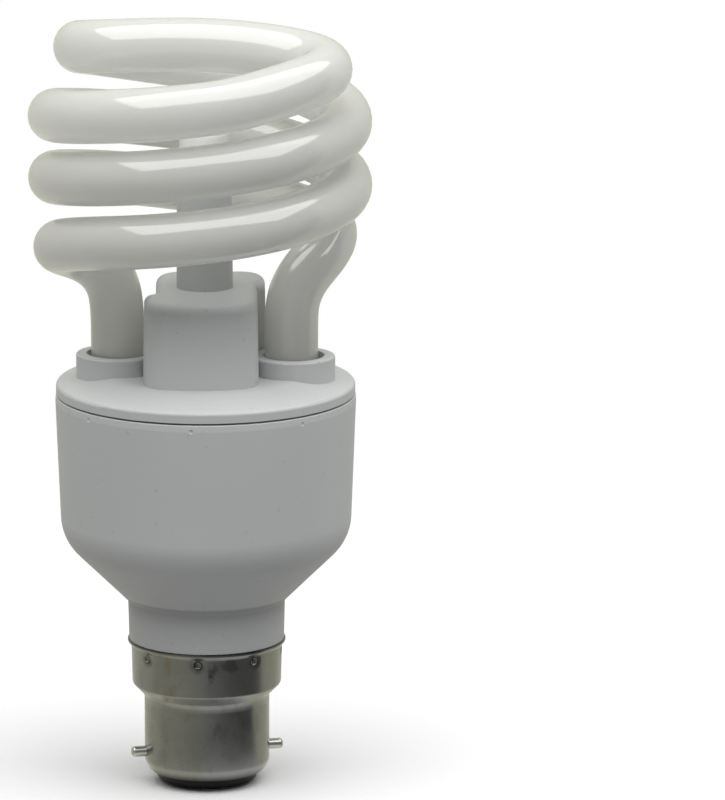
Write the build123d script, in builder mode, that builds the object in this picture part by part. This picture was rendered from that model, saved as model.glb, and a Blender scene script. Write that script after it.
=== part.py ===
from build123d import *

import os
from math import cos, pi, radians, sin, tan

# Compact fluorescent bulb with a bayonet cap, a spiral tube and a receiver post.
# Units are millimetres. The origin is on the bulb's axis, in the plane of the two cap contacts.
# +Z points up, from the cap to the tube, and -Y is the front.

# Cap: the 22 mm bayonet shell with its 26 mm skirt
shell_radius = 10.92
skirt_top_radius = 13.2
skirt_low_radius = 13.0
lip_radius = 13.8
lip_foot = 24.6
lip_rounding = 0.25
cap_wall = 0.35
cap_top = 26.0
skirt_foot = 18.05
skirt_foot_bend = 0.8
shell_top = 15.9
shell_top_bend = 1.6
shell_curve_top = 4.4
mouth_radius = 9.1
mouth_height = 1.9
dent_count = 8
dent_first_angle = -51.7 - 90.0
dent_height = 23.9
dent_radius = 0.95
dent_depth = 0.5
dent_ring = skirt_top_radius + dent_radius - dent_depth

# Bayonet pins, their line turned a little from the X axis
pin_turn = 12.0
pin_height = 5.85
pin_radius = 0.95
pin_shank_radius = 0.7
pin_tip_radius = 13.55
pin_rivet_radius = 1.3
pin_rivet_length = 0.6
pin_tip_fillet = 0.65

# Insulator, contacts and supply wires
insulator_top = 4.2
insulator_foot = 0.55
insulator_rounding = 0.9
contact_offset = 4.6
contact_radius = 2.3
contact_pocket_top = 1.3
contact_rounding = 0.5
wire_radius = 0.45
wire_reach = 18.5
wire_in_neck = 8.8

# Housing
rim_top = 69.55
rim_radius = 26.14
rim_low = 68.4
mark_count = 8
mark_first_angle = -5.6 - 90.0
mark_height = 68.5
mark_radius = 0.5
mark_depth = 0.2
shoulder_radius = 25.19
shoulder_height = 44.25
shoulder_bend = 8.8
cone_foot_radius = 13.9
cone_foot = 33.1
neck_radius = 13.7
spigot_radius = 12.66
spigot_foot = 19.0
neck_bore = spigot_radius - 1.3
housing_bore = 24.5
board_seat_radius = 24.1
board_seat = 57.0
board_ledge = 1.3
board_thickness = 1.6
board_top = board_seat + board_thickness

# Cover: deck, collars and block in one moulding
deck_radius = 26.0
deck_foot = 69.9
deck_rim = 71.7
deck_crown = 73.5
deck_wall = 1.7
cover_spigot_foot = 66.0
cover_spigot_wall = 1.3
collar_left = (-15.3, 1.3)
collar_right = (15.3, -1.3)
collar_radius = 7.2
collar_bore = 5.35
collar_foot = 72.2
collar_top = 76.55
block_top = 88.3
block_draft = 0.8
block_wall = 1.5
block_roof = 1.7
block_edge = 1.7
block_front_bend = 5.0

# Receiver post and its lens
post_x = -0.1
post_y = 0.8
post_foot_radius = 4.9
post_top_radius = 4.68
post_bore = 3.6
post_top = 112.6
post_socket_radius = 4.2
post_socket_depth = 2.4
lens_radius = 4.3
lens_top = 117.4
lens_plug = 3.0
lens_plug_radius = 3.55
lens_rounding = 2.4

# Spiral tube
tube_radius = 4.65
turn_radius = 25.1
half_turn_rise = 11.0
turn_centre_x = -0.8
lean_x = -0.0245
lean_y = -0.028
strand_a_start = 96.75
strand_b_start = 95.65
steps_per_half_turn = 12
tube_foot = 62.0
leg_a = (-15.25, 1.3)
leg_b = (14.9, -1.3)
tube_end_rounding = 2.0


def write(piece, name):
    """Label one finished piece and write its file."""
    piece.part.label = name
    export_step(piece.part, f"parts/{name}.step")


os.makedirs("parts", exist_ok=True)


# Route of the spiral tube: leg A, strand A, the bridge over the top, strand B, leg B
def strand_point(half_turns, start_angle, start_height):
    """A corner of one strand's route, half_turns after its outermost point beside its leg."""
    angle = start_angle + pi * half_turns
    corner_radius = turn_radius / cos(pi / steps_per_half_turn / 2)
    x = corner_radius * cos(angle)
    y = corner_radius * sin(angle)
    from_start = x - corner_radius * cos(start_angle)
    z = start_height + half_turn_rise * half_turns + lean_x * from_start + lean_y * y
    return (turn_centre_x + x, y, z)


def strand(start_angle, start_height, first_step, last_step):
    """Points along one strand, from its leg up to the bridge."""
    steps = range(first_step, last_step + 1)
    return [strand_point(n / steps_per_half_turn, start_angle, start_height) for n in steps]


leg_a_route = [
    (leg_a[0], leg_a[1], tube_foot),
    (leg_a[0], leg_a[1], 86.2),
    (-16.6, 1.0, 90.4),
    (-19.4, 0.4, 93.3),
    (-22.8, -1.0, 95.0),
    (-25.1, -4.2, 96.3),
    (-25.2, -8.2, 97.6),
]
bridge_route = [
    (18.7, -16.8, 127.6),
    (21.0, -12.6, 128.5),
    (20.6, -7.8, 129.1),
    (17.2, -4.2, 129.6),
    (11.0, -2.0, 130.4),
    (1.5, -0.3, 131.15),
    (-9.5, 1.0, 130.9),
    (-17.2, 3.4, 130.2),
    (-21.3, 7.3, 129.4),
    (-22.0, 12.4, 128.5),
    (-19.6, 17.0, 127.4),
]
leg_b_route = [
    (18.8, 14.4, 98.3),
    (21.6, 9.8, 97.7),
    (22.1, 5.6, 95.9),
    (20.1, 2.3, 93.4),
    (16.9, 0.2, 90.3),
    (15.0, -1.1, 86.4),
    (leg_b[0], leg_b[1], 82.0),
    (leg_b[0], leg_b[1], tube_foot),
]
strand_a = strand(pi, strand_a_start, 3, 31)
strand_b = strand(0.0, strand_b_start, 4, 31)
tube_route = leg_a_route + strand_a + bridge_route + strand_b[::-1] + leg_b_route


def corner_radii(points, share=0.45):
    """The largest arc that each corner of a route has room for."""
    vectors = [Vector(*point) for point in points]
    radii = []
    for before, corner, after in zip(vectors, vectors[1:], vectors[2:]):
        run_in = corner - before
        run_out = after - corner
        turn = radians(run_in.get_angle(run_out))
        radii.append(share * min(run_in.length, run_out.length) / tan(turn / 2))
    return radii


tube_radii = corner_radii(tube_route)
print("tightest bend of the tube", round(min(tube_radii), 2))

with BuildPart() as spiral_tube:
    with BuildLine() as tube_path:
        FilletPolyline(*tube_route, radius=tube_radii)
    with BuildSketch(Plane.XY.offset(tube_foot)):
        with Locations(leg_a):
            Circle(tube_radius)
    sweep(path=tube_path.wire())
    tube_ends = spiral_tube.edges().filter_by(GeomType.CIRCLE).group_by(Axis.Z)[0]
    fillet(tube_ends, tube_end_rounding)
tube_length = tube_path.wire().length
print("tube length", round(tube_length, 1))
print("tube volume ratio", round(spiral_tube.part.volume / (pi * tube_radius**2 * tube_length), 4))
write(spiral_tube, "spiral_tube")


# Cover
def block_plan(shrink=0.0):
    """Plan of the block: two halves, each stepped back beside the leg that passes it."""
    left_wide = -10.8 + shrink
    left_narrow = -8.8 + shrink
    right_narrow = 9.2 - shrink
    right_wide = 10.6 - shrink
    front = -16.4 + shrink
    front_corner = -13.8 + shrink
    back = 15.1 - shrink
    with BuildSketch() as plan:
        with BuildLine():
            ThreePointArc((left_wide, front_corner), (-0.8, front), (right_narrow, front_corner))
            Polyline(
                (right_narrow, front_corner),
                (right_narrow, 3.6 + shrink),
                (right_wide, 5.0 + shrink),
                (right_wide, back),
                (left_narrow, back),
                (left_narrow, -3.4 - shrink),
                (left_wide, -5.0 - shrink),
                (left_wide, front_corner),
            )
        make_face()
        front_corners = plan.vertices().filter_by(lambda corner: abs(corner.Y - front_corner) < 0.1)
        fillet(front_corners, block_front_bend - shrink)
        back_corners = plan.vertices().filter_by(lambda corner: abs(corner.Y - back) < 0.1)
        fillet(back_corners, 4.6 - shrink)
    return plan.sketch


with BuildPart() as tube_cover:
    with BuildSketch(Plane.XZ):
        with BuildLine():
            Line((0, deck_crown - deck_wall), (0, deck_crown))
            FilletPolyline(
                (0, deck_crown),
                (17.3, deck_crown),
                (20.4, 72.65),
                (deck_radius, deck_rim),
                (deck_radius, deck_foot),
                radius=(5.0, 8.0, 0.65),
            )
            Polyline(
                (deck_radius, deck_foot),
                (housing_bore, deck_foot),
                (housing_bore, cover_spigot_foot),
                (housing_bore - cover_spigot_wall, cover_spigot_foot),
                (housing_bore - cover_spigot_wall, 70.2),
                (19.8, 70.75),
                (16.6, deck_crown - deck_wall),
                (0, deck_crown - deck_wall),
            )
        make_face()
    revolve(axis=Axis.Z)
    with BuildSketch(Plane.XY.offset(collar_foot)):
        with Locations(collar_left, collar_right):
            Circle(collar_radius)
    extrude(amount=collar_top - collar_foot)
    collar_rims = tube_cover.edges().filter_by(GeomType.CIRCLE).group_by(Axis.Z)[-1]
    fillet(collar_rims, 0.35)
    with BuildSketch(Plane.XY.offset(collar_foot)):
        add(block_plan())
    extrude(amount=block_top - collar_foot, taper=block_draft)
    fillet(tube_cover.faces().sort_by(Axis.Z)[-1].edges(), block_edge)
    with BuildSketch(Plane.XY.offset(cover_spigot_foot)):
        add(block_plan(shrink=block_wall))
    extrude(amount=block_top - block_roof - cover_spigot_foot, taper=block_draft, mode=Mode.SUBTRACT)
    with BuildSketch(Plane.XY.offset(cover_spigot_foot)):
        with Locations(collar_left, collar_right):
            Circle(collar_bore)
    extrude(amount=collar_top - cover_spigot_foot, mode=Mode.SUBTRACT)
    with BuildSketch(Plane.XY.offset(block_top)):
        with Locations((post_x, post_y)):
            Circle(post_socket_radius)
    extrude(amount=-2 * block_roof, mode=Mode.SUBTRACT)
write(tube_cover, "tube_cover")

# Receiver post: it stands on the block and plugs into the block's roof
post_plane = Plane(origin=(post_x, post_y, 0), x_dir=(1, 0, 0), z_dir=(0, -1, 0))
post_axis = Axis((post_x, post_y, 0), (0, 0, 1))
post_plug_foot = block_top - post_socket_depth
with BuildPart() as receiver_post:
    with BuildSketch(post_plane):
        with BuildLine():
            Polyline(
                (post_bore, post_plug_foot),
                (post_socket_radius, post_plug_foot),
                (post_socket_radius, block_top),
                (post_foot_radius, block_top),
                (post_top_radius, post_top),
                (post_bore, post_top),
                (post_bore, post_plug_foot),
            )
        make_face()
    revolve(axis=post_axis)
write(receiver_post, "receiver_post")

# Lens: a rounded end whose plug goes down into the post
lens_foot = post_top - lens_plug
with BuildPart() as receiver_lens:
    with BuildSketch(post_plane):
        with BuildLine():
            Polyline(
                (0, lens_top),
                (0, lens_foot),
                (lens_plug_radius, lens_foot),
                (lens_plug_radius, post_top),
                (lens_radius, post_top),
            )
            FilletPolyline(
                (lens_radius, post_top), (lens_radius, lens_top), (0, lens_top), radius=lens_rounding
            )
        make_face()
    revolve(axis=post_axis)
write(receiver_lens, "receiver_lens")

# Housing of the ballast
with BuildPart() as housing:
    with BuildSketch(Plane.XZ):
        with BuildLine():
            Polyline(
                (neck_bore, spigot_foot),
                (spigot_radius, spigot_foot),
                (spigot_radius, cap_top),
                (neck_radius - 0.15, cap_top),
                (neck_radius, cone_foot - 0.3),
                (cone_foot_radius, cone_foot),
            )
            FilletPolyline(
                (cone_foot_radius, cone_foot),
                (shoulder_radius, shoulder_height),
                (rim_radius, rim_low),
                (rim_radius - 0.08, rim_top),
                (housing_bore, rim_top),
                radius=(shoulder_bend, 1.0, 0.15),
            )
            Polyline(
                (housing_bore, rim_top),
                (housing_bore, board_top + 3.6),
                (board_seat_radius, board_top + 3.0),
                (board_seat_radius, board_seat),
                (board_seat_radius - board_ledge, board_seat),
                (board_seat_radius - board_ledge, board_seat - 1.2),
                (board_seat_radius - 0.3, board_seat - 2.2),
                (board_seat_radius - 0.7, shoulder_height + 3.4),
                (board_seat_radius - 1.7, shoulder_height + 0.4),
                (neck_bore + 1.24, cone_foot + 1.0),
                (neck_bore, cone_foot - 0.6),
                (neck_bore, spigot_foot),
            )
        make_face()
    revolve(axis=Axis.Z)
    with PolarLocations(dent_ring, dent_count, dent_first_angle):
        with Locations((0, 0, dent_height)):
            Sphere(dent_radius + cap_wall, mode=Mode.SUBTRACT)
    with PolarLocations(rim_radius + mark_radius - mark_depth, mark_count, mark_first_angle):
        with Locations((0, 0, mark_height)):
            Sphere(mark_radius, mode=Mode.SUBTRACT)
write(housing, "housing")


# Cap
def cap_section(inset=0.0):
    """Half section of the cap's outer or inner surface, closed on the axis."""
    with BuildSketch(Plane.XZ) as section:
        with BuildLine():
            Line((0, cap_top), (skirt_top_radius - inset, cap_top))
            FilletPolyline(
                (skirt_top_radius - inset, cap_top),
                (skirt_low_radius - inset, skirt_foot + inset / 2),
                (shell_radius - inset, shell_top + inset / 2),
                (shell_radius - inset, shell_curve_top),
                radius=(skirt_foot_bend - inset, shell_top_bend + inset),
            )
            ThreePointArc(
                (shell_radius - inset, shell_curve_top),
                (shell_radius - 0.55 - inset, 2.85 + inset / 2),
                (mouth_radius - inset, mouth_height),
            )
            Polyline((mouth_radius - inset, mouth_height), (0, mouth_height), (0, cap_top))
        make_face()
    return section.sketch


def pin_plane(angle):
    """Plane across one pin's axis, at the bulb's axis, facing outwards."""
    outward = (cos(radians(angle)), sin(radians(angle)), 0)
    return Plane(origin=(0, 0, pin_height), x_dir=(0, 0, 1), z_dir=outward)


pin_angles = {"bayonet_pin_left": pin_turn + 180.0, "bayonet_pin_right": pin_turn}

with BuildPart() as cap_shell:
    with PolarLocations(dent_ring, dent_count, dent_first_angle):
        with Locations((0, 0, dent_height)):
            Sphere(dent_radius + cap_wall)
    revolve(cap_section(), axis=Axis.Z, mode=Mode.INTERSECT)
    with BuildSketch(Plane.XZ):
        with BuildLine():
            FilletPolyline(
                (skirt_top_radius - cap_wall, cap_top),
                (lip_radius, cap_top),
                (lip_radius, cap_top - 2 * lip_rounding),
                (skirt_top_radius - cap_wall / 2, lip_foot),
                radius=lip_rounding,
            )
            Polyline(
                (skirt_top_radius - cap_wall / 2, lip_foot),
                (skirt_top_radius - cap_wall, lip_foot),
                (skirt_top_radius - cap_wall, cap_top),
            )
        make_face()
    revolve(axis=Axis.Z)
    hollow = revolve(cap_section(), axis=Axis.Z, mode=Mode.PRIVATE)
    bore = revolve(cap_section(cap_wall), axis=Axis.Z, mode=Mode.PRIVATE)
    add(hollow - bore)
    with PolarLocations(dent_ring, dent_count, dent_first_angle):
        with Locations((0, 0, dent_height)):
            Sphere(dent_radius, mode=Mode.SUBTRACT)
    with Locations(pin_plane(pin_turn)):
        Cylinder(pin_shank_radius, 3 * shell_radius, mode=Mode.SUBTRACT)
write(cap_shell, "cap_shell")

# Bayonet pins: head outside, shank through the shell, riveted end inside
rivet_start = shell_radius - cap_wall - pin_rivet_length - 0.1
for name, angle in pin_angles.items():
    with BuildPart() as pin:
        with BuildSketch(pin_plane(angle).offset(rivet_start)):
            Circle(pin_rivet_radius)
        extrude(amount=pin_rivet_length)
        with BuildSketch(pin_plane(angle).offset(rivet_start)):
            Circle(pin_shank_radius)
        extrude(amount=shell_radius - rivet_start)
        with BuildSketch(pin_plane(angle).offset(shell_radius)):
            Circle(pin_radius)
        extrude(amount=pin_tip_radius - shell_radius)
        outward_axis = Axis((0, 0, pin_height), pin_plane(angle).z_dir)
        fillet(pin.faces().sort_by(outward_axis)[-1].edges(), pin_tip_fillet)
    write(pin, name)

# Insulator: a bead that fills the end of the shell, with a pocket for each contact
contact_turn = radians(pin_turn - 90.0)
contact_places = {
    "contact_front": (contact_offset * cos(contact_turn), contact_offset * sin(contact_turn)),
    "contact_back": (-contact_offset * cos(contact_turn), -contact_offset * sin(contact_turn)),
}
with BuildPart() as cap_insulator:
    revolve(cap_section(cap_wall), axis=Axis.Z)
    split(bisect_by=Plane.XY.offset(insulator_top), keep=Keep.BOTTOM)
    with BuildSketch(Plane.XY.offset(insulator_foot)):
        Circle(mouth_radius - cap_wall)
    extrude(amount=mouth_height - insulator_foot)
    fillet(cap_insulator.edges().group_by(Axis.Z)[0], insulator_rounding)
    for place in contact_places.values():
        with BuildSketch(Plane.XY):
            with Locations(place):
                Circle(contact_radius)
        extrude(amount=contact_pocket_top, mode=Mode.SUBTRACT)
        with BuildSketch(Plane.XY):
            with Locations(place):
                Circle(wire_radius)
        extrude(amount=insulator_top + 1, mode=Mode.SUBTRACT)
write(cap_insulator, "cap_insulator")

for name, place in contact_places.items():
    with BuildPart() as contact:
        with BuildSketch(Plane.XY):
            with Locations(place):
                Circle(contact_radius)
        extrude(amount=contact_pocket_top)
        fillet(contact.edges().group_by(Axis.Z)[0], contact_rounding)
    write(contact, name)


def radial_route(place, stations):
    """Points above a contact, each at a given radius and height, in the contact's direction."""
    length = (place[0] ** 2 + place[1] ** 2) ** 0.5
    return [(place[0] / length * radius, place[1] / length * radius, z) for radius, z in stations]


wire_stations = [
    (contact_offset, contact_pocket_top),
    (contact_offset, shell_top - 5.6),
    (wire_in_neck, shell_top + 1.9),
    (wire_in_neck, cone_foot - 1.2),
    (wire_reach, shoulder_height + 0.4),
    (wire_reach, board_seat),
]
for name, place in contact_places.items():
    route = radial_route(place, wire_stations)
    with BuildPart() as supply_wire:
        with BuildLine() as wire_path:
            FilletPolyline(*route, radius=corner_radii(route))
        with BuildSketch(Plane.XY.offset(contact_pocket_top)):
            with Locations(place):
                Circle(wire_radius)
        sweep(path=wire_path.wire())
    write(supply_wire, name.replace("contact", "supply_wire"))

# Ballast board, held on the ledge inside the housing
with BuildPart() as circuit_board:
    with BuildSketch(Plane.XY.offset(board_seat)):
        Circle(board_seat_radius)
    extrude(amount=board_thickness)
write(circuit_board, "circuit_board")

# Reservoir capacitor: its can hangs into the neck, with a rolled groove near the board
can_radius = 5.5
can_foot = board_seat - 24.6
groove_depth = 0.4
groove_top = board_seat - 1.8
with BuildPart() as reservoir_capacitor:
    with BuildSketch(Plane.XZ):
        with BuildLine():
            FilletPolyline(
                (0, can_foot),
                (can_radius, can_foot),
                (can_radius, groove_top - 1.0),
                (can_radius - groove_depth, groove_top - 0.5),
                (can_radius, groove_top),
                (can_radius, board_seat),
                (0, board_seat),
                radius=(0.6, 0.3, 0.3, 0.3, 0.4),
            )
            Line((0, board_seat), (0, can_foot))
        make_face()
    revolve(axis=Axis.Z)
write(reservoir_capacitor, "reservoir_capacitor")

# Choke: a closed core with two windows, and the winding round its middle leg
choke_x = -13.0
choke_width = 13.0
choke_depth = 7.0
choke_height = 12.0
window_width = 2.6
window_height = 7.6
window_offset = 3.25
winding_width = 9.0
winding_depth = 12.0
winding_height = 7.5
choke_middle = board_seat - choke_height / 2
with BuildPart() as choke_core:
    with Locations((choke_x, 0, choke_middle)):
        Box(choke_width, choke_depth, choke_height)
        with GridLocations(2 * window_offset, 1, 2, 1):
            Box(window_width, choke_depth, window_height, mode=Mode.SUBTRACT)
write(choke_core, "choke_core")

with BuildPart() as choke_winding:
    with Locations((choke_x, 0, choke_middle)):
        Box(winding_width, winding_depth, winding_height)
        fillet(choke_winding.edges().filter_by(Axis.Z), 1.6)
        Box(2 * window_offset - window_width, choke_depth, winding_height, mode=Mode.SUBTRACT)
write(choke_winding, "choke_winding")

# Drive transformer: a wound ring lying against the board
ring_place = (12.8, -7.5)
ring_radius = 5.0
ring_hole = 2.4
ring_height = 4.6
with BuildPart() as drive_transformer:
    with BuildSketch(Plane.XY.offset(board_seat)):
        with Locations(ring_place):
            Circle(ring_radius)
            Circle(ring_hole, mode=Mode.SUBTRACT)
    extrude(amount=-ring_height)
    fillet(drive_transformer.edges().group_by(Axis.Z)[0], 0.8)
write(drive_transformer, "drive_transformer")

# The two switching transistors: body, tab hole and three leads into the board
transistor_x = 10.6
transistor_size = (7.8, 2.8, 10.8)
transistor_hole = 1.6
lead_radius = 0.4
lead_length = 3.0
lead_pitch = 2.3
transistor_middle = board_seat - lead_length - transistor_size[2] / 2
for name, y in {"transistor_left": 5.2, "transistor_right": 11.2}.items():
    with BuildPart() as transistor:
        with Locations((transistor_x, y, transistor_middle)):
            Box(*transistor_size)
            chamfer(transistor.edges().group_by(Axis.Z)[0], 0.4)
        with Locations((transistor_x, y, transistor_middle - 3.0)):
            Cylinder(transistor_hole, transistor_size[1], rotation=(90, 0, 0), mode=Mode.SUBTRACT)
        with Locations((transistor_x, y, board_seat - lead_length / 2)):
            with GridLocations(lead_pitch, 1, 3, 1):
                Cylinder(lead_radius, lead_length)
    write(transistor, name)

# Film capacitors: dipped blocks with rounded edges
film_blocks = {
    "film_capacitor": ((-8.6, 13.6), (11.0, 5.0, 10.0)),
    "starting_capacitor": ((-9.0, -13.2), (9.0, 4.2, 9.0)),
}
for name, (place, block) in film_blocks.items():
    with BuildPart() as film:
        with Locations((place[0], place[1], board_seat - block[2] / 2)):
            Box(*block)
        fillet(film.edges().filter_by(Axis.Z), 0.8)
        fillet(film.faces().sort_by(Axis.Z)[0].edges(), 0.6)
    write(film, name)

# Line filter coil: a drum core, its winding let in between two flanges
coil_place = (3.4, -11.6)
coil_flange_radius = 4.0
coil_winding_radius = 3.6
coil_flange = 1.2
coil_height = 9.6
with BuildPart() as line_filter_coil:
    for foot in (board_seat - coil_flange, board_seat - coil_height):
        with BuildSketch(Plane.XY.offset(foot)):
            with Locations(coil_place):
                Circle(coil_flange_radius)
        extrude(amount=coil_flange)
    with BuildSketch(Plane.XY.offset(board_seat)):
        with Locations(coil_place):
            Circle(coil_winding_radius)
    extrude(amount=-coil_height)
write(line_filter_coil, "line_filter_coil")

# Fuse resistor: a small rounded barrel across the board
fuse_radius = 1.4
fuse_length = 8.0
with BuildPart() as fuse_resistor:
    with Locations((0, 8.6, board_seat - fuse_radius)):
        Cylinder(fuse_radius, fuse_length, rotation=(0, 90, 0))
    fillet(fuse_resistor.edges().filter_by(GeomType.CIRCLE), 0.5)
write(fuse_resistor, "fuse_resistor")

# Four rectifier diodes lie on top of the board
diode_radius = 1.35
diode_length = 5.0
diode_pitch = 3.6
with BuildPart() as rectifier_diodes:
    with Locations((0, 13.5, board_top + diode_radius)):
        with GridLocations(diode_pitch, 1, 4, 1):
            Cylinder(diode_radius, diode_length, rotation=(90, 0, 0))
write(rectifier_diodes, "rectifier_diodes")

# Tube ends: cement in each collar, and two filament leads down to the board
cement_foot = 71.2
cement_depth = 2.6
filament_lead_radius = 0.3
filament_lead_offset = 1.5
tube_ends_at = {"left": (collar_left, leg_a), "right": (collar_right, leg_b)}
for side, (collar, leg) in tube_ends_at.items():
    with BuildPart() as tube_cement:
        with BuildSketch(Plane.XY.offset(cement_foot)):
            with Locations(collar):
                Circle(collar_bore)
            with Locations(leg):
                Circle(tube_radius, mode=Mode.SUBTRACT)
        extrude(amount=cement_depth)
    write(tube_cement, f"tube_cement_{side}")
    with BuildPart() as filament_leads:
        with BuildSketch(Plane.XY.offset(board_top)):
            with Locations(leg):
                with GridLocations(2 * filament_lead_offset, 1, 2, 1):
                    Circle(filament_lead_radius)
        extrude(amount=tube_foot - board_top)
    write(filament_leads, f"filament_leads_{side}")

# Receiver: a small upright board in the block, its chip, and the receiver under the lens
receiver_board_top = 85.0
receiver_board_width = 12.0
receiver_board_thickness = 1.0
with BuildPart() as receiver_board:
    with BuildSketch(Plane.XY.offset(board_top)):
        with Locations((post_x, post_y)):
            Rectangle(receiver_board_width, receiver_board_thickness)
    extrude(amount=receiver_board_top - board_top)
write(receiver_board, "receiver_board")

chip_thickness = 1.6
chip_y = post_y - receiver_board_thickness / 2 - chip_thickness / 2
with BuildPart() as control_chip:
    with Locations((post_x, chip_y, 75.0)):
        Box(5.0, chip_thickness, 6.2)
    chamfer(control_chip.faces().sort_by(Axis.Y)[0].edges(), 0.3)
write(control_chip, "control_chip")

receiver_foot = lens_foot - 6.8
with BuildPart() as infrared_receiver:
    with BuildSketch(Plane.XY.offset(receiver_foot)):
        with Locations((post_x, post_y)):
            Rectangle(5.0, 4.0)
    extrude(amount=lens_foot - receiver_foot)
    fillet(infrared_receiver.edges().filter_by(Axis.Z), 0.6)
write(infrared_receiver, "infrared_receiver")

with BuildPart() as receiver_leads:
    with BuildSketch(Plane.XY.offset(receiver_board_top)):
        with Locations((post_x, post_y)):
            with GridLocations(2.0, 1, 3, 1):
                Circle(filament_lead_radius)
    extrude(amount=receiver_foot - receiver_board_top)
write(receiver_leads, "receiver_leads")
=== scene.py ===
from math import cos, pi, radians, sin, tau

import bmesh
import bpy
from mathutils import Matrix, Vector


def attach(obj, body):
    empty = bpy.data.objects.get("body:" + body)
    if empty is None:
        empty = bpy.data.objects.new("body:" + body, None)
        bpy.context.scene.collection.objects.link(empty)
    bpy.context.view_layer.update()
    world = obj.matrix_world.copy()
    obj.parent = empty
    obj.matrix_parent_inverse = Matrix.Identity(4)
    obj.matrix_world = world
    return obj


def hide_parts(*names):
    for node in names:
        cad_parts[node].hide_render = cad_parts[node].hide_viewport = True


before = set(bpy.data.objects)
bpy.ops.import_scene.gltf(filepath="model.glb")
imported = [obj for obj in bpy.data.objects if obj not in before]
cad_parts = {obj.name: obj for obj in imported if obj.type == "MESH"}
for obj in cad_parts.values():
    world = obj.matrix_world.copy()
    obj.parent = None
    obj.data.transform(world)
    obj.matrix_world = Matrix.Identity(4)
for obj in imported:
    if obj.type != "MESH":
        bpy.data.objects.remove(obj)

# Looks of a compact fluorescent bulb: spiral tube, moulded cover and housing, bayonet cap.
# Units are metres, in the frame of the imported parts; sizes written in millimetres are times MM.
MM = 0.001
# points of a mesh nearer than this become one
WELD = 0.001 * MM
SCENE = bpy.context.scene
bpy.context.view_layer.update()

# Spiral tube: the route's driving sizes, in millimetres
TUBE_RADIUS = 4.65
TURN_RADIUS = 25.1
HALF_TURN_RISE = 11.0
TURN_CENTRE_X = -0.8
LEAN_X = -0.0245
LEAN_Y = -0.028
STRAND_A_START = 96.75
STRAND_B_START = 95.65
STEPS_PER_HALF_TURN = 12
STRAND_A_STEPS = (3, 31)
STRAND_B_STEPS = (4, 31)
TUBE_FOOT = 62.0
LEG_A = (-15.25, 1.3)
LEG_B = (14.9, -1.3)
LEG_A_ROUTE = [
    (*LEG_A, TUBE_FOOT),
    (*LEG_A, 70.0),
    (*LEG_A, 78.0),
    (*LEG_A, 86.2),
    (-16.6, 1.0, 90.4),
    (-19.4, 0.4, 93.3),
    (-22.8, -1.0, 95.0),
    (-25.1, -4.2, 96.3),
    (-25.2, -8.2, 97.6),
]
BRIDGE_ROUTE = [
    (18.7, -16.8, 127.6),
    (21.0, -12.6, 128.5),
    (20.6, -7.8, 129.1),
    (17.2, -4.2, 129.6),
    (11.0, -2.0, 130.4),
    (1.5, -0.3, 131.15),
    (-9.5, 1.0, 130.9),
    (-17.2, 3.4, 130.2),
    (-21.3, 7.3, 129.4),
    (-22.0, 12.4, 128.5),
    (-19.6, 17.0, 127.4),
]
LEG_B_ROUTE = [
    (18.8, 14.4, 98.3),
    (21.6, 9.8, 97.7),
    (22.1, 5.6, 95.9),
    (20.1, 2.3, 93.4),
    (16.9, 0.2, 90.3),
    (15.0, -1.1, 86.4),
    (*LEG_B, 82.0),
    (*LEG_B, 75.0),
    (*LEG_B, 68.0),
    (*LEG_B, TUBE_FOOT),
]

# Crimp dents round the cap's skirt: their ring, and how far round each the metal is drawn in
DENT_COUNT = 8
FIRST_DENT = radians(-141.7)
DENT_HEIGHT = 23.9
DENT_RADIUS = 0.95
DENT_RING = 13.65
DENT_PULL = 1.9
DENT_SINK = 0.10
SHARP_EDGE = radians(32)

# The cap's flare between shell and skirt, and the painted shadow in the joint under its lip, in
# millimetres
FLARE_FOOT = 14.4
FLARE_TOP = 16.1
FLARE_SINK = 0.32
GAP_SHADOW_LOW = 25.58
GAP_SHADOW_HIGH = 25.88

# Marks on the front of the cap: across, height, half width and half height, in millimetres,
# and before each painted dark reflection its strength; the stain is a real brown stain. They fade out
# towards the cap's sides.
DARK_REFLECTIONS = [
    (1.0, (0.8, 22.7, 0.75, 2.1)),
    (0.6, (3.7, 23.9, 4.6, 1.2)),
    (0.45, (2.2, 11.2, 2.6, 2.0)),
]
STAIN = (-7.3, 21.6, 1.3, 3.8)
FRONT_FADE = 2.0

# Share of the light that goes through the tube's wall
TUBE_PASSES = 0.42

# Heights between which painted shade changes, in millimetres: on the tube's legs and on the neck
LEGS_SHADED = 72.0
LEGS_UNSHADED = 95.0
NECK_PALE = 28.0
NECK_EDGE = 34.0
NECK_LINE = (33.9, 34.5)

# Camera: a long lens a little above the bulb
CAMERA_PLACE = (0.0, -1.5, 0.40462)
CAMERA_YAW = 0.0181685
CAMERA_PITCH = 0.2206131
CAMERA_LENS = 397.8

# Studio: one wide softbox over the bulb, its front edge lower than its back edge. In mirror
# rays the room is dim before the bulb and pale behind it, and the floor is pale near the bulb.
SOFTBOX_FRONT = Vector((0.05, -0.42, 0.47))
SOFTBOX_BACK = Vector((0.05, 0.20, 0.72))
SOFTBOX_WIDTH = 1.0
SOFTBOX_RADIANCE = 2.4
SKY_LOW = 0.02
SKY_RISE = 0.62
ROOM_LEFT = 0.58
ROOM_RIGHT = 0.16
ROOM_BEHIND = 0.73
ROOM_TINT = (1.0, 1.0, 0.84)
BEHIND_START = -0.18
BEHIND_END = 0.03
NEAR_TONE = 1.0
NEAR_START = 0.014
NEAR_END = 0.036
CONTACT_START = 0.007
CONTACT_END = 0.0145
FLOOR_SIZE = 12.0
FLOOR_SHADE = 0.28
FLOOR_CLOUD = 0.03
FLOOR_FADE_START = 0.10
FLOOR_FADE_END = 0.32


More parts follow.
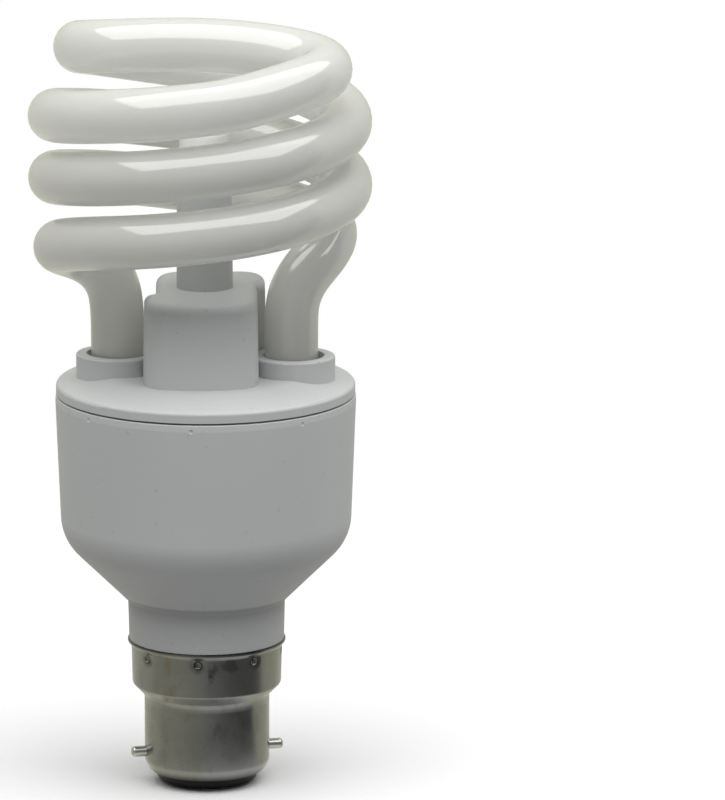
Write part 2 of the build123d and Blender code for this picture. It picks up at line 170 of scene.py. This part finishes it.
class Value:
    """A shader value. Its operators add Math nodes to its own finish."""

    def __init__(self, finish, socket):
        self.finish = finish
        self.socket = socket

    def math(self, operation, *others, swap=False, clamp=False):
        terms = [*others, self] if swap else [self, *others]
        settings = {"operation": operation, "use_clamp": clamp}
        return self.finish.node("ShaderNodeMath", settings, dict(enumerate(terms)))

    def __add__(self, other):
        return self.math("ADD", other)

    def __sub__(self, other):
        return self.math("SUBTRACT", other)

    def __rsub__(self, other):
        return self.math("SUBTRACT", other, swap=True)

    def __mul__(self, other):
        return self.math("MULTIPLY", other)

    def __truediv__(self, other):
        return self.math("DIVIDE", other)

    def __pow__(self, other):
        return self.math("POWER", other)

    __radd__ = __add__
    __rmul__ = __mul__

    def clipped(self):
        return self.math("ADD", 0.0, clamp=True)


class Finish:
    """A material or world under construction, which node() fills."""

    def __init__(self, owner):
        self.owner = owner
        owner.use_nodes = True
        self.tree = owner.node_tree
        self.tree.nodes.clear()

    def node(self, kind, settings=None, inputs=None, output=0):
        """Add a node: its settings first, then the values or links of its sockets."""
        made = self.tree.nodes.new(kind)
        for name, value in (settings or {}).items():
            setattr(made, name, value)
        for name, value in (inputs or {}).items():
            if isinstance(value, Value):
                self.tree.links.new(value.socket, made.inputs[name])
            else:
                made.inputs[name].default_value = value
        return Value(self, made.outputs[output]) if made.outputs else None

    def place(self, scale=(1, 1, 1), offset=(0, 0, 0)):
        """Object coordinates, moved by offset and then scaled."""
        coordinates = self.node("ShaderNodeTexCoord", output="Object")
        moved = self.node("ShaderNodeVectorMath", {"operation": "ADD"}, {0: coordinates, 1: offset})
        return self.node("ShaderNodeVectorMath", {"operation": "MULTIPLY"}, {0: moved, 1: scale})

    def axis(self, letter):
        """One object coordinate as a number, in metres."""
        coordinates = self.node("ShaderNodeTexCoord", output="Object")
        return self.node("ShaderNodeSeparateXYZ", None, {0: coordinates}, letter)

    def noise(self, scale, detail=3.0, roughness=0.5, stretch=(1, 1, 1), offset=(0, 0, 0)):
        """Noise from 0 to 1; scale is in cells per metre."""
        inputs = {
            "Vector": self.place(stretch, offset),
            "Scale": scale,
            "Detail": detail,
            "Roughness": roughness,
        }
        return self.node("ShaderNodeTexNoise", None, inputs, "Fac")

    def span(self, value, low, high, to_low=0.0, to_high=1.0):
        """Carry value from one range to another, smoothly and clipped."""
        settings = {"interpolation_type": "SMOOTHSTEP"}
        ends = {"From Min": low, "From Max": high, "To Min": to_low, "To Max": to_high}
        return self.node("ShaderNodeMapRange", settings, {"Value": value, **ends})

    def blend(self, factor, first, second):
        """Mix two colours; each is a value or a triple."""
        ends = [end if isinstance(end, Value) else (*end, 1.0) for end in (first, second)]
        settings = {"data_type": "RGBA"}
        # sockets 6 and 7 of a Mix node are its two colours, and 2 is its colour output
        return self.node("ShaderNodeMix", settings, {0: factor, 6: ends[0], 7: ends[1]}, 2)

    def bump(self, height, distance, under=None):
        """A normal raised by height, which runs from 0 to 1, times distance in metres."""
        inputs = {"Height": height, "Distance": distance}
        if under:
            inputs["Normal"] = under
        return self.node("ShaderNodeBump", None, inputs, "Normal")

    def principled(self, **sockets):
        """A Principled shader; underscores in the names stand for spaces."""
        inputs = {name.replace("_", " "): value for name, value in sockets.items()}
        if not isinstance(inputs["Base Color"], Value):
            inputs["Base Color"] = (*inputs["Base Color"], 1.0)
        return self.node("ShaderNodeBsdfPrincipled", None, inputs, "BSDF")

    def close(self, shader):
        """Send a shader to the material's output, and return the material."""
        self.node("ShaderNodeOutputMaterial", None, {"Surface": shader})
        return self.owner


def new_finish(name):
    return Finish(bpy.data.materials.new(name))


# Finishes
def tube_glass():
    """White phosphor seen through smooth glass, with faint clouds, flecks and a slight ripple."""
    finish = new_finish("tube_glass")
    cloud = finish.noise(90, detail=2.0)
    fleck = finish.span(finish.noise(900, detail=1.0), 0.70, 0.78)
    colour = finish.blend(cloud, (0.79, 0.79, 0.77), (0.82, 0.82, 0.80))
    colour = finish.blend(fleck * 0.12, colour, (0.62, 0.61, 0.56))
    # painted shade: the tube is painted greyer down its legs, where they lie under the spiral, most at
    # the lower height
    painted_leg_shade = finish.span(finish.axis("Z"), LEGS_SHADED * MM, LEGS_UNSHADED * MM, 0.48, 0.0)
    colour = finish.blend(painted_leg_shade, colour, (0.42, 0.42, 0.40))
    roughness = finish.span(finish.noise(160), 0.3, 0.7, 0.03, 0.07)
    ripple = finish.bump(finish.noise(55, detail=1.0), 0.06 * MM)
    shader = finish.principled(
        Base_Color=colour,
        Roughness=roughness,
        IOR=1.7,
        Coat_Weight=1.0,
        Coat_Roughness=0.02,
        Coat_IOR=1.8,
        Normal=ripple,
    )
    # light that gets through the powder's thin coat, and lights the tube from inside
    passed = {"Color": (0.94, 0.945, 0.935, 1.0), "Normal": ripple}
    through = finish.node("ShaderNodeBsdfTranslucent", None, passed, "BSDF")
    glass = finish.node("ShaderNodeMixShader", None, {0: TUBE_PASSES, 1: shader, 2: through})
    return finish.close(glass)


def moulded_white():
    """Matt white moulding: spark-textured skin, slight mottling, a few dark specks."""
    finish = new_finish("moulded_white")
    cloud = finish.noise(45, detail=4.0)
    colour = finish.blend(cloud, (0.585, 0.60, 0.60), (0.625, 0.64, 0.64))
    speck = finish.span(finish.noise(1100, detail=0.0, offset=(0.3, 0.1, 0.7)), 0.80, 0.84)
    colour = finish.blend(speck * 0.3, colour, (0.38, 0.37, 0.35))
    # painted shade: the neck is painted darker just below the cone's foot, fading out downwards
    z = finish.axis("Z")
    rise = finish.span(z, NECK_PALE * MM, NECK_EDGE * MM)
    above = finish.span(z, NECK_LINE[0] * MM, NECK_LINE[1] * MM)
    shade = rise ** 2.2 * (1 - above) * 0.45
    colour = finish.blend(shade, colour, (0.20, 0.205, 0.205))
    grain = finish.noise(2600, detail=2.0)
    roughness = finish.span(grain, 0.25, 0.75, 0.42, 0.56)
    skin = finish.bump(grain, 0.012 * MM)
    return finish.close(finish.principled(Base_Color=colour, Roughness=roughness, Normal=skin))


def lens_white():
    """Smooth pale plastic of the receiver's lens."""
    finish = new_finish("lens_white")
    cloud = finish.noise(300, detail=2.0)
    colour = finish.blend(cloud, (0.90, 0.91, 0.90), (0.94, 0.945, 0.94))
    roughness = finish.span(cloud, 0.3, 0.7, 0.18, 0.26)
    skin = finish.bump(finish.noise(1500), 0.004 * MM)
    return finish.close(finish.principled(Base_Color=colour, Roughness=roughness, Normal=skin))


def dull_nickel():
    """Thin drawn metal: fine rings, tarnish, painted dark reflections round the dents and in spots,
    painted shadow under the lip, and a brown stain.
    """
    finish = new_finish("dull_nickel")
    x, y, z = [finish.axis(letter) for letter in "XYZ"]

    rings = finish.noise(1.0, detail=4.0, stretch=(150, 150, 5200))
    tarnish = finish.noise(110, detail=5.0, roughness=0.6)
    grime_and_dark_reflection = finish.noise(420, detail=4.0, roughness=0.65, stretch=(1, 1, 0.55))
    ragged = finish.span(grime_and_dark_reflection, 0.30, 0.70, 0.9, -0.9)

    def patch(across, height, half_width, half_height):
        """A ragged spot on the front of the cap; sizes in millimetres."""
        sideways = (x - across * MM) / (half_width * MM)
        upwards = (z - height * MM) / (half_height * MM)
        oval = finish.span(sideways * sideways + upwards * upwards + ragged, -0.3, 1.3, 1.0, 0.0)
        return oval * (1 - finish.span(y, -FRONT_FADE * MM, 0.0))

    # distance from the nearest dent, round the skirt and up it
    turns = (y.math("ARCTAN2", x) - FIRST_DENT) * (DENT_COUNT / tau) + (DENT_COUNT + 0.5)
    around = (turns.math("FRACT") - 0.5) * (DENT_RING * tau / DENT_COUNT * MM)
    up = z - DENT_HEIGHT * MM
    from_dent = (around * around + up * up) ** 0.5
    drawn_in = finish.span(from_dent, 0.6 * DENT_RADIUS * MM, DENT_PULL * MM, 1.0, 0.0)
    # painted reflection: the metal is painted dark round each dent, most below it, and in the listed
    # spots
    dark_reflection = drawn_in * finish.span(up, -0.6 * MM, 0.9 * MM, 1.0, 0.15)
    for strength, spot in DARK_REFLECTIONS:
        dark_reflection = dark_reflection.math("MAXIMUM", strength * patch(*spot))
    ragged_dark_reflection = dark_reflection * finish.span(grime_and_dark_reflection, 0.3, 0.6, 0.35, 0.85)
    # painted shadow in the joint between the lip and the neck
    gap_shadow = finish.span(z, GAP_SHADOW_LOW * MM, GAP_SHADOW_HIGH * MM)

    dulled = finish.span(tarnish, 0.35, 0.65)
    colour = finish.blend(dulled, (0.225, 0.225, 0.215), (0.265, 0.265, 0.255))
    colour = finish.blend(rings * 0.3, colour, (0.17, 0.17, 0.16))
    colour = finish.blend(finish.span(grime_and_dark_reflection, 0.50, 0.75) * 0.35, colour, (0.12, 0.12, 0.115))
    colour = finish.blend(patch(*STAIN) * 0.6, colour, (0.20, 0.165, 0.10))
    # painted shadow in the joint under the lip
    colour = finish.blend(gap_shadow * 0.9, colour, (0.03, 0.03, 0.028))
    # painted dark reflection round the dents and in the spots
    colour = finish.blend(ragged_dark_reflection, colour, (0.06, 0.06, 0.062))
    roughness = finish.span(tarnish + 0.25 * rings, 0.4, 0.9, 0.20, 0.32)
    scratch = finish.bump(rings, 0.003 * MM)
    pulled = finish.bump(1 - drawn_in, DENT_SINK * MM, under=scratch)
    flare = finish.span(z, FLARE_FOOT * MM, FLARE_TOP * MM)
    flared = finish.bump(flare, FLARE_SINK * MM, under=pulled)
    shader = finish.principled(Base_Color=colour, Roughness=roughness, Metallic=1.0, Normal=flared)
    return finish.close(shader)


def bright_pin():
    """Turned pin metal, brighter than the cap."""
    finish = new_finish("bright_pin")
    turning = finish.noise(9000, detail=2.0)
    colour = finish.blend(turning, (0.40, 0.40, 0.385), (0.49, 0.49, 0.47))
    roughness = finish.span(turning, 0.3, 0.7, 0.22, 0.26)
    skin = finish.bump(turning, 0.0005 * MM)
    shader = finish.principled(Base_Color=colour, Roughness=roughness, Metallic=1.0, Normal=skin)
    return finish.close(shader)


def plain_finish(name, light, dark, roughness, metallic=0.0, depth=0.008, gloss=0.5):
    """A finish of two near shades, its roughness and skin following the same grain."""
    finish = new_finish(name)
    grain = finish.noise(700, detail=4.0)
    colour = finish.blend(finish.span(grain, 0.35, 0.65), dark, light)
    rough = finish.span(grain, 0.25, 0.75, roughness - 0.06, roughness + 0.06)
    skin = finish.bump(grain, depth * MM)
    shader = finish.principled(
        Base_Color=colour,
        Roughness=rough,
        Metallic=metallic,
        Specular_IOR_Level=gloss,
        Normal=skin,
    )
    return finish.close(shader)


def ray_kinds(finish):
    """Two masks: 1 for camera rays, and 1 for rays that a mirror or glass sends on."""
    kinds = ("Is Camera Ray", "Is Glossy Ray", "Is Transmission Ray")
    rays = [finish.node("ShaderNodeLightPath", output=kind) for kind in kinds]
    return rays[0], (rays[1] + rays[2]).clipped()


def room_tone(finish, side, behind):
    """Brightness of the room in a reflection: pale behind the bulb, dim before it and to its right."""
    before = finish.span(side, -1.0, 1.0, ROOM_LEFT, ROOM_RIGHT)
    return before + finish.span(behind, BEHIND_START, BEHIND_END) * (ROOM_BEHIND - before)


def room_colour(finish, tone, mirror):
    """White, but a little warmer where the room is pale in a reflection."""
    return finish.blend(finish.span(tone, 0.3, 0.6) * mirror, (1, 1, 1), ROOM_TINT)


def studio_floor():
    """Pale floor: it takes light and shade near the bulb, and runs out to plain white."""
    finish = new_finish("studio_floor")
    x, y = [finish.axis(letter) for letter in "XY"]
    away = (x * x + y * y) ** 0.5
    camera, mirror = ray_kinds(finish)
    # a millimetre more, because away is nothing in the middle
    reach = away + MM
    room = room_tone(finish, x / reach, y / reach)
    # close to the bulb the floor shows paler in the cap's metal than the dim room before it
    near = finish.span(away, NEAR_START, NEAR_END, NEAR_TONE, 0.0)
    contact = finish.span(away, CONTACT_START, CONTACT_END)
    pale = camera + mirror * room.math("MAXIMUM", near) * contact
    cloud = finish.noise(20, detail=2.0)
    own = finish.blend(cloud, (FLOOR_SHADE,) * 3, (FLOOR_SHADE + FLOOR_CLOUD,) * 3)
    colour = finish.blend(camera, own, (0.97, 0.97, 0.97))
    matt = finish.principled(Base_Color=colour, Roughness=0.9, Specular_IOR_Level=0.0)
    light = {"Color": room_colour(finish, room, mirror), "Strength": pale}
    white = finish.node("ShaderNodeEmission", None, light)
    far = finish.span(away, FLOOR_FADE_START, FLOOR_FADE_END) * camera + mirror
    floor = finish.node("ShaderNodeMixShader", None, {0: far, 1: matt, 2: white})
    return finish.close(floor)


# Pieces
def shown(name, data):
    """A new object in the scene."""
    obj = bpy.data.objects.new(name, data)
    SCENE.collection.objects.link(obj)
    return obj


def welded(mesh):
    """The mesh opened for work, its doubled points merged and its faces smooth."""
    bm = bmesh.new()
    bm.from_mesh(mesh)
    bmesh.ops.remove_doubles(bm, verts=bm.verts, dist=WELD)
    for face in bm.faces:
        face.smooth = True
    return bm


def finished_piece(obj, material):
    """Give a new piece its finish and its body."""
    obj.data.materials.clear()
    obj.data.materials.append(material)
    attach(obj, "root")
    return obj


def strand_point(half_turns, start_angle, start_height):
    """A control point of one strand, half_turns after its outermost point beside its leg."""
    angle = start_angle + pi * half_turns
    # a cubic spline runs inside its points by this much
    reach = TURN_RADIUS * 6 / (4 + 2 * cos(pi / STEPS_PER_HALF_TURN))
    x = reach * cos(angle)
    y = reach * sin(angle)
    from_start = x - reach * cos(start_angle)
    z = start_height + HALF_TURN_RISE * half_turns + LEAN_X * from_start + LEAN_Y * y
    return (TURN_CENTRE_X + x, y, z)


def strand(start_angle, start_height, first_step, last_step):
    """Points along one strand, from its leg up to the bridge."""
    steps = range(first_step, last_step + 1)
    return [strand_point(n / STEPS_PER_HALF_TURN, start_angle, start_height) for n in steps]


def spiral_tube():
    """The glass tube as one smooth bent tube along the whole route."""
    strand_a = strand(pi, STRAND_A_START, *STRAND_A_STEPS)
    strand_b = strand(0.0, STRAND_B_START, *STRAND_B_STEPS)
    route = LEG_A_ROUTE + strand_a + BRIDGE_ROUTE + strand_b[::-1] + LEG_B_ROUTE
    curve = bpy.data.curves.new("spiral_route", "CURVE")
    curve.dimensions = "3D"
    curve.resolution_u = 10
    curve.bevel_depth = TUBE_RADIUS * MM
    curve.bevel_resolution = 14
    curve.use_fill_caps = True
    line = curve.splines.new("NURBS")
    line.points.add(len(route) - 1)
    for point, place in zip(line.points, route):
        point.co = (*(Vector(place) * MM), 1.0)
    line.order_u = 4
    line.use_endpoint_u = True
    holder = bpy.data.objects.new("spiral_route", curve)
    mesh = bpy.data.meshes.new_from_object(holder)
    bpy.data.objects.remove(holder)
    bm = welded(mesh)
    bmesh.ops.recalc_face_normals(bm, faces=bm.faces)
    bm.to_mesh(mesh)
    bm.free()
    tube = shown("glass_spiral", mesh)
    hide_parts("spiral_tube")
    return tube


def dent_punches():
    """Balls where the crimping tool pressed the skirt, their poles in and out."""
    bm = bmesh.new()
    for number in range(DENT_COUNT):
        angle = FIRST_DENT + number * tau / DENT_COUNT
        middle = Vector((DENT_RING * cos(angle), DENT_RING * sin(angle), DENT_HEIGHT)) * MM
        placed = Matrix.Translation(middle) @ Matrix.Rotation(angle, 4, "Z")
        bmesh.ops.create_uvsphere(
            bm,
            u_segments=64,
            v_segments=32,
            radius=DENT_RADIUS * MM,
            matrix=placed @ Matrix.Rotation(pi / 2, 4, "Y"),
        )
    mesh = bpy.data.meshes.new("dent_punches")
    bm.to_mesh(mesh)
    bm.free()
    return shown("dent_punches", mesh)


def dented_cap():
    """The cap's shell with its crimp dents pressed in from outside."""
    bm = welded(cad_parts["cap_shell"].data)
    mesh = bpy.data.meshes.new("cap_with_dents")
    bm.to_mesh(mesh)
    bm.free()
    cap = shown("cap_with_dents", mesh)

    punches = dent_punches()
    press = cap.modifiers.new("press", "BOOLEAN")
    press.operation = "DIFFERENCE"
    press.solver = "EXACT"
    press.object = punches
    graph = bpy.context.evaluated_depsgraph_get()
    pressed = bpy.data.meshes.new_from_object(cap.evaluated_get(graph))
    cap.modifiers.remove(press)
    bpy.data.objects.remove(punches)

    bm = welded(pressed)
    for edge in bm.edges:
        edge.smooth = edge.is_manifold and edge.calc_face_angle() < SHARP_EDGE
    bm.to_mesh(mesh)
    bm.free()
    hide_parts("cap_shell")
    return cap


# Studio
def place_camera():
    """The photograph's view: a long lens, a little above the bulb and looking slightly down."""
    forward = Vector(
        (
            sin(CAMERA_YAW) * cos(CAMERA_PITCH),
            cos(CAMERA_YAW) * cos(CAMERA_PITCH),
            -sin(CAMERA_PITCH),
        )
    )
    eye = bpy.data.cameras.new("eye")
    eye.sensor_width = 36.0
    eye.lens = CAMERA_LENS
    eye.clip_start = 0.05
    eye.clip_end = 50.0
    camera = shown("eye", eye)
    camera.location = CAMERA_PLACE
    camera.rotation_mode = "QUATERNION"
    camera.rotation_quaternion = forward.to_track_quat("-Z", "Y")
    SCENE.camera = camera


def hang_softbox():
    """The one lamp, which slopes up from its front edge to its back edge."""
    slope = SOFTBOX_BACK - SOFTBOX_FRONT
    softbox = bpy.data.lights.new("softbox", "AREA")
    softbox.shape = "RECTANGLE"
    softbox.size = SOFTBOX_WIDTH
    softbox.size_y = slope.length
    softbox.energy = SOFTBOX_RADIANCE * pi * SOFTBOX_WIDTH * slope.length
    lamp = shown("softbox", softbox)
    facing = Vector((1, 0, 0)).cross(slope.normalized())
    lamp.location = (SOFTBOX_FRONT + SOFTBOX_BACK) / 2
    lamp.rotation_mode = "QUATERNION"
    lamp.rotation_quaternion = facing.to_track_quat("Z", "Y")


def paint_room():
    """White for the camera, a soft glow from above for the light, and the room in reflections."""
    world = bpy.data.worlds.new("room")
    SCENE.world = world
    room = Finish(world)
    direction = room.node("ShaderNodeTexCoord", output="Generated")
    side, behind, above = [
        room.node("ShaderNodeSeparateXYZ", None, {0: direction}, letter) for letter in "XYZ"
    ]
    camera_ray, mirror_ray = ray_kinds(room)
    glow = SKY_LOW + SKY_RISE * above.math("MAXIMUM", 0.0)
    tone = room_tone(room, side, behind)
    seen = mirror_ray * tone + (1 - mirror_ray) * glow
    strength = camera_ray + (1 - camera_ray) * seen
    light = {"Color": room_colour(room, tone, mirror_ray), "Strength": strength}
    sky = room.node("ShaderNodeBackground", None, light)
    room.node("ShaderNodeOutputWorld", None, {"Surface": sky})


def lay_floor():
    """One wide plain sheet under the bulb."""
    bm = bmesh.new()
    bmesh.ops.create_grid(bm, x_segments=1, y_segments=1, size=FLOOR_SIZE / 2)
    mesh = bpy.data.meshes.new("floor")
    bm.to_mesh(mesh)
    bm.free()
    floor = shown("floor", mesh)
    floor.data.materials.append(studio_floor())


def carried_over(finishes):
    """Put a finish on each CAD node that still shows or lies inside."""
    for name, material in finishes.items():
        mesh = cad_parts[name].data
        mesh.materials.clear()
        mesh.materials.append(material)


def main():
    SCENE.view_settings.view_transform = "Standard"
    place_camera()
    hang_softbox()
    paint_room()
    lay_floor()

    white = moulded_white()
    pin = bright_pin()
    solder = plain_finish("dull_solder", (0.55, 0.55, 0.53), (0.40, 0.40, 0.385), 0.42, metallic=1.0)
    bead = plain_finish("black_bead", (0.014, 0.014, 0.014), (0.008, 0.008, 0.008), 0.42, gloss=0.22)
    laminate = plain_finish("board_laminate", (0.46, 0.37, 0.21), (0.38, 0.30, 0.16), 0.55)
    ferrite = plain_finish("grey_ferrite", (0.10, 0.10, 0.105), (0.06, 0.06, 0.065), 0.6)
    copper = plain_finish("enamelled_copper", (0.62, 0.30, 0.14), (0.42, 0.18, 0.08), 0.3, 1.0)
    moulding = plain_finish("black_moulding", (0.045, 0.045, 0.045), (0.03, 0.03, 0.03), 0.5)
    dip = plain_finish("brown_dip", (0.50, 0.18, 0.07), (0.38, 0.13, 0.05), 0.25)
    sleeve = plain_finish("dark_sleeve", (0.05, 0.06, 0.10), (0.03, 0.04, 0.07), 0.25)
    cement = plain_finish("white_cement", (0.80, 0.78, 0.72), (0.66, 0.64, 0.58), 0.85, depth=0.05)
    lead_cover = plain_finish("lead_cover", (0.78, 0.78, 0.76), (0.70, 0.70, 0.68), 0.45)

    finished_piece(spiral_tube(), tube_glass())
    finished_piece(dented_cap(), dull_nickel())
    carried_over(
        {
            "tube_cover": white,
            "receiver_post": white,
            "housing": white,
            "receiver_lens": lens_white(),
            "bayonet_pin_left": pin,
            "bayonet_pin_right": pin,
            "cap_insulator": bead,
            "contact_front": solder,
            "contact_back": solder,
            "supply_wire_front": lead_cover,
            "supply_wire_back": lead_cover,
            "circuit_board": laminate,
            "receiver_board": laminate,
            "reservoir_capacitor": sleeve,
            "choke_core": ferrite,
            "drive_transformer": ferrite,
            "choke_winding": copper,
            "line_filter_coil": copper,
            "transistor_left": moulding,
            "transistor_right": moulding,
            "rectifier_diodes": moulding,
            "control_chip": moulding,
            "infrared_receiver": moulding,
            "film_capacitor": dip,
            "starting_capacitor": dip,
            "fuse_resistor": dip,
            "tube_cement_left": cement,
            "tube_cement_right": cement,
            "filament_leads_left": solder,
            "filament_leads_right": solder,
            "receiver_leads": solder,
        }
    )


main()
